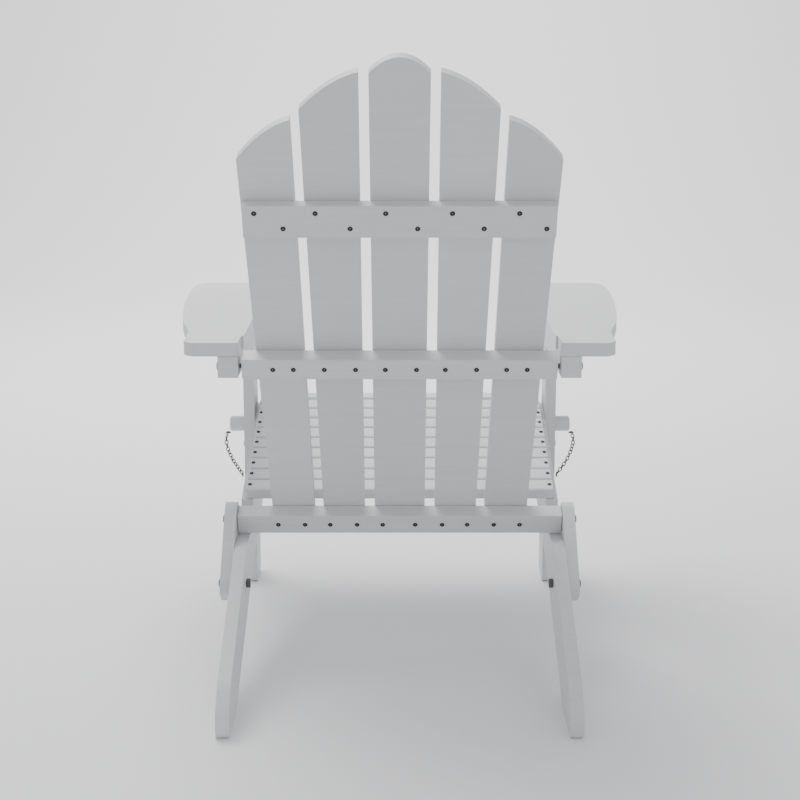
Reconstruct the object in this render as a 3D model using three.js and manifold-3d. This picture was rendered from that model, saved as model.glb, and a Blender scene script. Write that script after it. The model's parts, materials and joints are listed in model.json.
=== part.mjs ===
// Folding adirondack chair. Millimetres, +Z up, front faces -Y.
// Origin: on the ground at the middle of the chair's footprint box.
import * as THREE from 'three';
import { mergeVertices } from 'three/addons/utils/BufferGeometryUtils.js';
import Module from 'manifold-3d';
const wasm = await Module(); wasm.setup();

// ---- driving dimensions
const BOARD = 19.7;            // board thickness
const XI = 250, XO = 270;      // stringer inner and outer faces
const XL0 = 270.3, XL1 = 290;  // outer layer: front legs and rear link plates
const RECLINE = 20 * Math.PI / 180;
const P0 = [34.5, 210.9];      // lower end of the slats' rear face (Y, Z)
const G = [-270, 262], F = [-249, 508], L = [128, 139], U = [54, 223], A = [150, 507];
const DOWEL = [-250, 306], DOWEL_R = 14, DOWEL_HOLE = 14.4;
const BOLT_R = 4, BOLT_HOLE = 4.3;
const ARM_Z = 528.5, ARM_T = 21.5;
const SEAT = [[2, 240], [-272, 331], [-303, 333], [-330, 318]]; // stringer top line under the slats

const group = new THREE.Group();
const WHITE = 0xdcdddf, STEEL = 0x4a4c50;
const add = (name, geo, color = WHITE, metal = 0) => {
  const m = new THREE.Mesh(geo, new THREE.MeshStandardMaterial({ color, roughness: metal ? 0.45 : 0.55, metalness: metal }));
  m.name = name; group.add(m); return m;
};
const circle = (shape, y, z, r, n = 20) => {
  const p = new THREE.Path();
  for (let i = 0; i < n; i++) { const a = -2 * Math.PI * i / n; const q = [y + r * Math.cos(a), z + r * Math.sin(a)]; i ? p.lineTo(...q) : p.moveTo(...q); }
  p.closePath(); shape.holes.push(p);
};
const poly = input => { const pts = THREE.ShapeUtils.area(input.map(p => new THREE.Vector2(p[0], p[1]))) < 0 ? input.slice().reverse() : input; const s = new THREE.Shape(); pts.forEach((p, i) => i ? s.lineTo(p[0], p[1]) : s.moveTo(p[0], p[1])); s.closePath(); return s; };
// round the corners of a polygon: each point is [a, b, radius]
function rounded(pts, n = 5) {
  const out = [];
  pts.forEach((p, i) => {
    const a = pts[(i + pts.length - 1) % pts.length], b = pts[(i + 1) % pts.length], r = p[2] || 0;
    if (!r) { out.push([p[0], p[1]]); return; }
    const v = (q) => { const d = Math.hypot(q[0] - p[0], q[1] - p[1]); const t = Math.min(r, d * 0.49); return [p[0] + (q[0] - p[0]) * t / d, p[1] + (q[1] - p[1]) * t / d]; };
    const s = v(a), e = v(b);
    for (let k = 0; k <= n; k++) { const t = k / n; out.push([(1 - t) ** 2 * s[0] + 2 * t * (1 - t) * p[0] + t * t * e[0], (1 - t) ** 2 * s[1] + 2 * t * (1 - t) * p[1] + t * t * e[1]]); }
  });
  return out;
}
const ext = (shape, depth) => new THREE.ExtrudeGeometry(shape, { depth, bevelEnabled: false, curveSegments: 12 });
// a board whose outline is in the Y-Z plane, from X = x0 to x1
function side(shape, x0, x1) {
  const g = ext(shape, x1 - x0);
  g.applyMatrix4(new THREE.Matrix4().makeBasis(new THREE.Vector3(0, 1, 0), new THREE.Vector3(0, 0, 1), new THREE.Vector3(1, 0, 0)).setPosition(x0, 0, 0));
  return g;
}
// a board whose outline is (X, along the back), from depth n1 down to n0 behind the slats' rear face
function back(shape, n0, n1) {
  const s = Math.sin(RECLINE), c = Math.cos(RECLINE), g = ext(shape, n1 - n0);
  g.applyMatrix4(new THREE.Matrix4().makeBasis(new THREE.Vector3(1, 0, 0), new THREE.Vector3(0, s, c), new THREE.Vector3(0, -c, s)).setPosition(0, P0[0] + n1 * c, P0[1] - n1 * s));
  return g;
}
const solid = geo => {
  const g = geo.clone(); g.deleteAttribute('normal'); g.deleteAttribute('uv'); const m = mergeVertices(g, 1e-4);
  return new wasm.Manifold(new wasm.Mesh({ numProp: 3, vertProperties: new Float32Array(m.attributes.position.array), triVerts: new Uint32Array(m.index.array) }));
};
const toGeo = man => { const q = man.getMesh(); const g = new THREE.BufferGeometry(); g.setAttribute('position', new THREE.BufferAttribute(new Float32Array(q.vertProperties), 3)); g.setIndex(new THREE.BufferAttribute(new Uint32Array(q.triVerts), 1)); g.computeVertexNormals(); return g; };
const rod = (y, z, r, x0, x1) => { const g = new THREE.CylinderGeometry(r, r, x1 - x0, 20); g.rotateZ(-Math.PI / 2); g.translate((x0 + x1) / 2, y, z); return g; };
const mirror = src => {
  const g = (src.index ? src.toNonIndexed() : src.clone()), a = g.attributes.position;
  for (let i = 0; i < a.count; i++) a.setX(i, -a.getX(i));
  for (let i = 0; i < a.count; i += 3) { const v = [a.getX(i + 1), a.getY(i + 1), a.getZ(i + 1)]; a.setXYZ(i + 1, a.getX(i + 2), a.getY(i + 2), a.getZ(i + 2)); a.setXYZ(i + 2, ...v); }
  g.computeVertexNormals(); return g;
};

for (const side_ of ['left', 'right']) {
  const put = (name, geo, color, metal) => add(name + '_' + side_, side_ === 'left' ? geo : mirror(geo), color, metal);
  // one-piece stringer and rear leg
  const st = poly(rounded([[388, 0, 8], [392, 34, 16], [360, 69, 12], [124, 192, 20], [104, 197, 6], [8, 197, 6], [2, 240, 0], [-272, 331, 0], [-303, 333, 0], [-330, 318, 4],
    [-330, 262, 30], [-285, 226, 30], [30, 128, 60], [296, 0, 4]], 5));
  circle(st, ...G, BOLT_HOLE); circle(st, ...L, BOLT_HOLE); circle(st, ...DOWEL, DOWEL_HOLE);
  put('stringer', side(st, XI, XO));
  // front leg
  const fl = poly(rounded([[-232, 0, 8], [-231, 300, 60], [-231, 526, 18], [-299, 526, 34], [-299, 300, 60], [-298, 14, 12], [-286, 0, 6]], 6));
  circle(fl, ...G, BOLT_HOLE); circle(fl, ...F, BOLT_HOLE); circle(fl, ...DOWEL, DOWEL_HOLE);
  put('front_leg', side(fl, XL0, XL1));
  // rear link plate
  const d = [L[0] - U[0], L[1] - U[1]], dl = Math.hypot(...d), e = [d[0] / dl, d[1] / dl], n = [-e[1], e[0]];
  const q = (a, b, r) => [U[0] + e[0] * a + n[0] * b, U[1] + e[1] * a + n[1] * b, r];
  const lp = poly(rounded([q(-26, 28, 24), q(dl + 26, 28, 24), q(dl + 26, -28, 24), q(-26, -28, 24)], 6));
  circle(lp, ...U, BOLT_HOLE); circle(lp, ...L, BOLT_HOLE);
  put('rear_link', side(lp, XL0, XL1));
  // arm, outline in X-Y
  const arm = poly(rounded([[250.5, 180, 3], [322, 180, 0], [337, 168, 12], [336, 140, 0], [338, 100, 0], [343, 70, 20], [355, 30, 30], [369, -40, 40], [384, -160, 60], [394, -300, 60], [390, -390.5, 34], [262, -390.5, 30], [247, -300, 40], [247, 125, 2], [250.5, 125, 1]], 6));
  const ag = ext(arm, ARM_T); ag.translate(0, 0, ARM_Z);
  put('arm', ag);
  // arm rail: a full-length strip under the arm, thicker over its last 60 mm at the rear
  const rail = poly([[250.3, 180], [282, 180], [282, 118], [270, 118], [270, -330], [250.3, -330]].map(p => p));
  const rg = ext(rail, 34); rg.translate(0, 0, 494.2);
  put('arm_rail', toGeo(solid(rg).subtract(solid(rod(...F, BOLT_HOLE, 240, 300))).subtract(solid(rod(...A, BOLT_HOLE, 240, 300)))));
  // locking dowel with a turned knob end
  const dp = [[0, 0], [13, 0], [14, 1.5], [14, 44], [12.5, 47], [0, 47]].map(p => new THREE.Vector2(...p));
  const dg = new THREE.LatheGeometry(dp, 28); dg.rotateZ(-Math.PI / 2); dg.translate(XL0 + 0.2, ...DOWEL);
  put('locking_dowel', dg, 0xd8d9dc);
  // safety chain, from the dowel's outer end down to the leg's rear edge
  const cp = [[322, -245.5, 288.5], [325, -243, 281], [324.5, -240, 271], [321, -236, 258], [313, -231, 242], [303, -227, 228], [294, -224.5, 216]].map(p => new THREE.Vector3(...p));
  const cs = new THREE.Shape(); for (let i = 0; i < 8; i++) { const a = Math.PI * 2 * i / 8; const w = [2.2 * Math.cos(a), 2.2 * Math.sin(a)]; i ? cs.lineTo(...w) : cs.moveTo(...w); } cs.closePath();
  put('chain', new THREE.ExtrudeGeometry(cs, { steps: 20, bevelEnabled: false, extrudePath: new THREE.CatmullRomCurve3(cp) }), STEEL, 0.9);
  // pivot bolts: dome head, shank, and a nut where there is a free inner face
  const bolt = (p, xin, xnut, xhead) => {
    const o = [];
    o.push([0, xin - (xnut ? 7 : 0)]);
    if (xnut) o.push([7.5, xin - 7], [7.5, xin - 0.3], [BOLT_R, xin - 0.3]); else o.push([BOLT_R, xin]);
    o.push([BOLT_R, xhead + 0.3], [9, xhead + 0.3], [8.2, xhead + 3], [5, xhead + 5], [0, xhead + 5.6]);
    const g = new THREE.LatheGeometry(o.map(v => new THREE.Vector2(...v)), 16); g.rotateZ(-Math.PI / 2); g.translate(0, p[0], p[1]); return g;
  };
  put('bolt_link_leg', bolt(L, XI, true, XL1), STEEL, 0.9);
  put('bolt_link_back', bolt(U, 240, false, XL1), STEEL, 0.9);
  put('bolt_leg_seat', bolt(G, XI, true, XL1), STEEL, 0.9);
  put('bolt_leg_arm', bolt(F, 250.3, true, XL1), STEEL, 0.9);
  put('bolt_arm_back', bolt(A, 246.3, false, 282), STEEL, 0.9);
}
// seat slats, lying on the straight facets of the stringers' top line
let k = 0;
const flip = SEAT; // the outward normal of a segment running towards -Y is up
const segUp = (a, b, count) => {
  const d = [b[0] - a[0], b[1] - a[1]], len = Math.hypot(...d), e = [d[0] / len, d[1] / len], n = [e[1], -e[0]].map(v => v * (e[0] < 0 ? 1 : -1));
  const p = len / count;
  for (let i = 0; i < count; i++) {
    const s0 = i * p + 0.9, s1 = (i + 1) * p - 0.9, c = 2.5, q = (s, h) => [a[0] + e[0] * s + n[0] * h, a[1] + e[1] * s + n[1] * h];
    const w = [q(s0, 0.3), q(s0, 20 - c), q(s0 + c, 20), q(s1 - c, 20), q(s1, 20 - c), q(s1, 0.3)];
    k++; add('seat_slat_' + String(k).padStart(2, '0'), side(poly(w), -262, 262));
  }
};
segUp(flip[0], flip[1], 9); segUp(flip[1], [flip[2][0], flip[2][1]], 1); segUp(flip[2], flip[3], 1);
// back slats: edges in X at height u along the back, with curved tops
const edge = (x, m, u) => x + m * (u - 50);
const slat = (name, xi, mi, xo, mo, top) => {
  const pts = [[edge(xi, mi, 0), 0], [edge(xo, mo, 0), 0], ...top, ];
  add(name, back(poly(pts), -20, 0));
};
const arcTop = (x0, u0, x1, u1, bulge, r) => { // from (x1,u1) back to (x0,u0)
  const o = []; for (let i = 0; i <= 10; i++) { const t = i / 10; o.push([x1 + (x0 - x1) * t, u1 + (u0 - u1) * t + bulge * 4 * t * (1 - t)]); } return o;
};
slat('back_slat_3', -41.8, -0.0028, 41.8, 0.0028, arcTop(-edge(41.8, 0.0028, 799), 799, edge(41.8, 0.0028, 799), 799, 24));
slat('back_slat_4', 58.5, 0, 127.8, 0.0232, arcTop(58.5, 801, edge(127.8, 0.0232, 745), 745, 9));
slat('back_slat_5', 143, 0.0215, 213.7, 0.038, arcTop(edge(143, 0.0215, 729), 729, edge(213.7, 0.038, 668), 668, 10));
const mir = (name, src) => add(name, mirror(group.children.find(m => m.name === src).geometry));
mir('back_slat_2', 'back_slat_4'); mir('back_slat_1', 'back_slat_5');
// back rails
const box = (h, u0, u1) => poly([[-h, u0], [h, u0], [h, u1], [-h, u1]]);
const cutEnds = (geo, p) => { let m = solid(geo); for (const s of [[-300, -238], [238, 300]]) m = m.subtract(solid(rod(p[0], p[1], BOLT_HOLE, ...s))); return toGeo(m); };
add('back_rail_bottom', cutEnds(back(box(269.7, 0, 36), 0.3, 29.3), U));
add('back_rail_middle', back(box(245.5, 307, 343), 0.3, 30.3));
add('back_rail_top', back(box(231.5, 550, 602), 0.3, 19.3));
group.updateMatrixWorld(true);
export default group;
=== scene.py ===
import bpy, bmesh, math, json
from mathutils import Vector, Matrix

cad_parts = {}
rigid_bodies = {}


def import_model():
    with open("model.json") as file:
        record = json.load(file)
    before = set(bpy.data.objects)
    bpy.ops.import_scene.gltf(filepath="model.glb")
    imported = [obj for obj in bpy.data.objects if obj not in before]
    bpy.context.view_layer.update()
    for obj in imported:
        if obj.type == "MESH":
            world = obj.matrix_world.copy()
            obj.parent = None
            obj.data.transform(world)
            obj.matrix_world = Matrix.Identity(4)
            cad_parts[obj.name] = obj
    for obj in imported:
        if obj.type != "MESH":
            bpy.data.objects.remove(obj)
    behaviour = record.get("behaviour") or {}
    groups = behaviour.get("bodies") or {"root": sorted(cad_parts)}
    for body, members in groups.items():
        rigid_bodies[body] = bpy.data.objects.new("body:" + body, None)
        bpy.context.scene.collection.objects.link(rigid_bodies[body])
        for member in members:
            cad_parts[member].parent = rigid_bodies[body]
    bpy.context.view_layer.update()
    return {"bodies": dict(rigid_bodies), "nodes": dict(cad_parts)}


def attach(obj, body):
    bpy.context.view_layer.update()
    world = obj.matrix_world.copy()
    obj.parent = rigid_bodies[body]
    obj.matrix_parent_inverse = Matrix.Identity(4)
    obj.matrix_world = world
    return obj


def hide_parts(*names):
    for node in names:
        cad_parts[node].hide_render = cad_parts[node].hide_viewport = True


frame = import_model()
B = frame["bodies"]; N = frame["nodes"]

# ---------- materials
def paint(name, rot=(0, 0, 0), tone=0.80, seed=0.0):
    m = bpy.data.materials.new(name); m.use_nodes = True
    t = m.node_tree; n = t.nodes; l = t.links; p = n["Principled BSDF"]
    co = n.new("ShaderNodeTexCoord"); mp = n.new("ShaderNodeMapping")
    mp.vector_type = "POINT"; mp.inputs["Rotation"].default_value = rot; mp.inputs["Scale"].default_value = (6, 130, 130); mp.inputs["Location"].default_value = (seed, seed * 1.7, seed * .6)
    l.new(co.outputs["Object"], mp.inputs["Vector"])
    g = n.new("ShaderNodeTexNoise"); g.inputs["Scale"].default_value = 1.0; g.inputs["Detail"].default_value = 5; g.inputs["Roughness"].default_value = .6; g.inputs["Distortion"].default_value = .5
    l.new(mp.outputs["Vector"], g.inputs["Vector"])
    w = n.new("ShaderNodeTexNoise"); w.inputs["Scale"].default_value = 5.0; w.inputs["Detail"].default_value = 3
    l.new(co.outputs["Object"], w.inputs["Vector"])
    r = n.new("ShaderNodeValToRGB"); r.color_ramp.elements[0].position = .25; r.color_ramp.elements[1].position = .7
    r.color_ramp.elements[0].color = (tone * .93, tone * .935, tone * .945, 1); r.color_ramp.elements[1].color = (tone, tone * 1.003, tone * 1.012, 1)
    l.new(g.outputs["Fac"], r.inputs["Fac"])
    r2 = n.new("ShaderNodeValToRGB"); r2.color_ramp.elements[0].color = (.94, .94, .945, 1); r2.color_ramp.elements[1].color = (1, 1, 1, 1)
    l.new(w.outputs["Fac"], r2.inputs["Fac"])
    x = n.new("ShaderNodeMix"); x.data_type = "RGBA"; x.blend_type = "MULTIPLY"; x.inputs[0].default_value = 1
    l.new(r.outputs["Color"], x.inputs[6]); l.new(r2.outputs["Color"], x.inputs[7]); l.new(x.outputs[2], p.inputs["Base Color"])
    rr = n.new("ShaderNodeMapRange"); rr.inputs["To Min"].default_value = .42; rr.inputs["To Max"].default_value = .62
    l.new(w.outputs["Fac"], rr.inputs["Value"]); l.new(rr.outputs["Result"], p.inputs["Roughness"])
    b = n.new("ShaderNodeBump"); b.inputs["Strength"].default_value = .25; b.inputs["Distance"].default_value = .0006
    l.new(g.outputs["Fac"], b.inputs["Height"]); l.new(b.outputs["Normal"], p.inputs["Normal"])
    return m
def steel(name, tone):
    m = bpy.data.materials.new(name); m.use_nodes = True
    t = m.node_tree; n = t.nodes; l = t.links; p = n["Principled BSDF"]; p.inputs["Metallic"].default_value = .85
    co = n.new("ShaderNodeTexCoord"); g = n.new("ShaderNodeTexNoise"); g.inputs["Scale"].default_value = 260; g.inputs["Detail"].default_value = 4
    l.new(co.outputs["Object"], g.inputs["Vector"])
    r = n.new("ShaderNodeValToRGB"); r.color_ramp.elements[0].position = .35; r.color_ramp.elements[1].position = .7
    r.color_ramp.elements[0].color = (tone * .6, tone * .55, tone * .5, 1); r.color_ramp.elements[1].color = (tone, tone, tone * 1.03, 1)
    l.new(g.outputs["Fac"], r.inputs["Fac"]); l.new(r.outputs["Color"], p.inputs["Base Color"])
    rr = n.new("ShaderNodeMapRange"); rr.inputs["To Min"].default_value = .3; rr.inputs["To Max"].default_value = .6
    l.new(g.outputs["Fac"], rr.inputs["Value"]); l.new(rr.outputs["Result"], p.inputs["Roughness"])
    b = n.new("ShaderNodeBump"); b.inputs["Strength"].default_value = .2; b.inputs["Distance"].default_value = .0002
    l.new(g.outputs["Fac"], b.inputs["Height"]); l.new(b.outputs["Normal"], p.inputs["Normal"])
    return m
RZ = math.pi / 2
AX = {"x": (0, 0, 0), "y": (0, 0, RZ), "z": (0, RZ, 0), "back": (0, RZ, 0)}
mats = {}
def wood(axis, i):
    k = (axis, i % 3)
    if k not in mats: mats[k] = paint("white_paint_%s_%d" % k, AX[axis], (.68, .665, .695)[i % 3], 3.1 * (i % 3))
    return mats[k]
dark = steel("dark_steel_bolt", .16); screwm = steel("dark_steel_screw", .07); chainm = steel("dark_steel_chain", .13)

# ---------- the boards: rounded edges over the frame's own meshes
for i, (name, o) in enumerate(sorted(N.items())):
    if name.startswith("chain"): continue
    if name.startswith("bolt"): mat, wd, sg = dark, .0005, 2
    elif name.startswith(("seat", "back_rail")): mat, wd, sg = wood("x", i), .0016, 3
    elif name.startswith("locking"): mat, wd, sg = wood("x", i), .0010, 2
    elif name.startswith(("stringer", "arm", "rear_link")): mat, wd, sg = wood("y", i), .0024, 3
    else: mat, wd, sg = wood("z", i), .0022, 3
    o.data.materials.clear(); o.data.materials.append(mat)
    w = o.modifiers.new("weld", "WELD"); w.merge_threshold = .00002
    b = o.modifiers.new("bevel", "BEVEL"); b.width = wd; b.segments = sg; b.limit_method = "ANGLE"; b.angle_limit = math.radians(38); b.harden_normals = False
    n = o.modifiers.new("wn", "WEIGHTED_NORMAL"); n.keep_sharp = False

def obj(name, bm, mat, body, smooth=True):
    me = bpy.data.meshes.new(name); bmesh.ops.recalc_face_normals(bm, faces=bm.faces); bm.to_mesh(me); bm.free()
    if smooth:
        for f in me.polygons: f.use_smooth = True
    me.materials.append(mat); o = bpy.data.objects.new(name, me); bpy.context.scene.collection.objects.link(o)
    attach(o, body); return o

# ---------- screws: low domed heads with a cross recess
def screw(bm, p, nrm, spin=0.0, r=.0040):
    z = Vector(nrm).normalized(); q = z.to_track_quat("Z", "Y").to_matrix().to_4x4(); q.translation = Vector(p); q = q @ Matrix.Rotation(spin, 4, "Z")
    S = 24; rings = []
    def ring(f, h): rings.append([bm.verts.new(q @ Vector((f(i) * math.cos(2 * math.pi * i / S), f(i) * math.sin(2 * math.pi * i / S), h))) for i in range(S)])
    cross = lambda i: r * (.62 if i % 6 == 0 else .30 if i % 6 in (1, 5) else .20)
    ring(lambda i: r * .9, -.0008); ring(lambda i: r, .0001); ring(lambda i: r * .93, .0006); ring(lambda i: r * .7, .0009); ring(cross, .0010); ring(lambda i: cross(i) * .8, -.0003)
    for a, b in zip(rings, rings[1:]):
        for i in range(S): bm.faces.new((a[i], a[(i + 1) % S], b[(i + 1) % S], b[i]))
    bm.faces.new(rings[0]); bm.faces.new(rings[-1])
TH = math.radians(20); P0 = (.0345, .2109)
def bp(x, u, n): return (x, P0[0] + u * math.sin(TH) + n * math.cos(TH), P0[1] + u * math.cos(TH) - n * math.sin(TH))
NB = (0, math.cos(TH), -math.sin(TH))
rows = {"top": (.0193, [(213.5, 590), (123.8, 590), (20.4, 590), (-77.4, 590), (-175.7, 590), (171.7, 565), (73, 565), (-26.6, 565), (-124.4, 565), (-216.6, 565)]),
        "middle": (.0303, [(x, 325) for x in (197, 165, 117, 68.5, 22.3, -26.1, -70.9, -119.3, -166, -198)]),
        "bottom": (.0293, [(x, 18) for x in (201.8, 157.2, 115.5, 70.8, 28.3, -25.8, -70.5, -112.2, -156.5, -199.3)])}
for k, (n, pts) in rows.items():
    for i, (x, u) in enumerate(pts):
        bm = bmesh.new(); screw(bm, bp(x / 1000, u / 1000, n + .0001), NB, i * .7); obj("screw_%s_%02d" % (k, i + 1), bm, screwm, "back")
seat = [((2, 240), (-272, 331), 9), ((-272, 331), (-303, 333), 1), ((-303, 333), (-330, 318), 1)]; c = 0
for a, b, k in seat:
    L = math.hypot(b[0] - a[0], b[1] - a[1]); e = ((b[0] - a[0]) / L, (b[1] - a[1]) / L); n = (e[1], -e[0])
    if n[1] < 0: n = (-n[0], -n[1])
    for i in range(k):
        c += 1; s = (i + .5) * L / k
        for t, x in (("l", .256), ("r", -.256)):
            bm = bmesh.new(); screw(bm, (x, (a[0] + e[0] * s + n[0] * 20.1) / 1000, (a[1] + e[1] * s + n[1] * 20.1) / 1000), (0, n[0], n[1]), c * .9, .0036)
            obj("screw_seat_%02d_%s" % (c, t), bm, screwm, "seat_frame")

# ---------- chains of real links, and their screw eyes
def loop(bm, M, a, b, w, S=20, T=8):
    rings = []
    for i in range(S):
        t = 2 * math.pi * i / S; c_ = Vector((a * math.copysign(abs(math.cos(t)) ** .8, math.cos(t)), b * math.sin(t), 0)); o_ = Vector((math.cos(t), math.sin(t), 0))
        rings.append([bm.verts.new(M @ (c_ + o_ * w * math.cos(2 * math.pi * j / T) + Vector((0, 0, w * math.sin(2 * math.pi * j / T))))) for j in range(T)])
    for i in range(S):
        for j in range(T): bm.faces.new((rings[i][j], rings[(i + 1) % S][j], rings[(i + 1) % S][(j + 1) % T], rings[i][(j + 1) % T]))
path = [Vector(p) / 1000 for p in ((323, -245.5, 286), (325, -243, 281), (324.5, -240, 271), (321, -236, 258), (313, -231, 242), (303, -227, 228), (294, -224.5, 216))]
cum = [0]
for a, b in zip(path, path[1:]): cum.append(cum[-1] + (b - a).length)
def at(s):
    for i in range(len(path) - 1):
        if s <= cum[i + 1] or i == len(path) - 2: return path[i].lerp(path[i + 1], (s - cum[i]) / (cum[i + 1] - cum[i])), (path[i + 1] - path[i]).normalized()
for sd, sx in (("left", 1), ("right", -1)):
    bm = bmesh.new(); K = 13; step = cum[-1] / K
    for i in range(K):
        p, d = at((i + .5) * step); p = Vector((p.x * sx, p.y, p.z)); d = Vector((d.x * sx, d.y, d.z))
        M = d.to_track_quat("X", "Z").to_matrix().to_4x4() @ Matrix.Rotation((i % 2) * math.pi / 2 + .3, 4, "X"); M.translation = p
        loop(bm, M, step * .62, .0030, .00095)
    o = obj("chain_links_" + sd, bm, chainm, "front_legs"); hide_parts("chain_" + sd)
    for nm, p, R, bd in (("dowel_eye_", (.3215, -.247, .2895), Matrix.Rotation(0, 4, "X"), "dowel_" + sd), ("leg_eye_", (.2935, -.2262, .214), Matrix.Rotation(math.pi / 2, 4, "Y"), "front_legs")):
        bm = bmesh.new(); M = Matrix.Translation(Vector((p[0] * sx, p[1], p[2]))) @ R; loop(bm, M, .0040, .0040, .0011)
        obj(nm + sd, bm, chainm, bd)

# ---------- stage
prof = [(9.0, 0.0), (-3.2, 0.0)] + [(-3.2 - 2.2 * math.sin(a * math.pi / 24), 2.2 - 2.2 * math.cos(a * math.pi / 24)) for a in range(1, 13)] + [(-5.4, 9.0)]
vs = [(x, y, z) for y, z in prof for x in (-9.0, 9.0)]
me = bpy.data.meshes.new("floor"); me.from_pydata(vs, [], [(2 * i, 2 * i + 1, 2 * i + 3, 2 * i + 2) for i in range(len(prof) - 1)]); fl = bpy.data.objects.new("floor", me)
for f in me.polygons: f.use_smooth = True
bpy.context.scene.collection.objects.link(fl); fm = bpy.data.materials.new("floor"); fm.use_nodes = True; fm.node_tree.nodes["Principled BSDF"].inputs["Base Color"].default_value = (.86, .86, .87, 1); fm.node_tree.nodes["Principled BSDF"].inputs["Roughness"].default_value = .9
me.materials.append(fm)
wd = bpy.data.worlds.new("w"); bpy.context.scene.world = wd; wd.use_nodes = True; wd.node_tree.nodes["Background"].inputs[0].default_value = (.93, .94, .96, 1); wd.node_tree.nodes["Background"].inputs[1].default_value = .85
def area(name, loc, to, size, power):
    L = bpy.data.lights.new(name, "AREA"); L.size = size; L.energy = power; o = bpy.data.objects.new(name, L); o.location = loc
    o.rotation_euler = (Vector(to) - Vector(loc)).to_track_quat("-Z", "Y").to_euler(); bpy.context.scene.collection.objects.link(o)
area("key", (.9, -1.2, 3.2), (0, -.2, .4), 2.0, 110); area("wall", (0, -2.2, 3.6), (0, -5.4, 1.6), 3.0, 170); area("fill", (-1.8, 2.6, 2.6), (0, 0, .4), 2.5, 6)
cam = bpy.data.cameras.new("camera"); co = bpy.data.objects.new("camera", cam); bpy.context.scene.collection.objects.link(co)
cam.sensor_width = 36; cam.lens = 62.82; cam.shift_y = -.12; cam.clip_start = .05
co.location = (-.0005, 2.288, .991); co.rotation_euler = (math.radians(90 - 10.22), 0, math.pi); bpy.context.scene.camera = co
cam.dof.use_dof = False
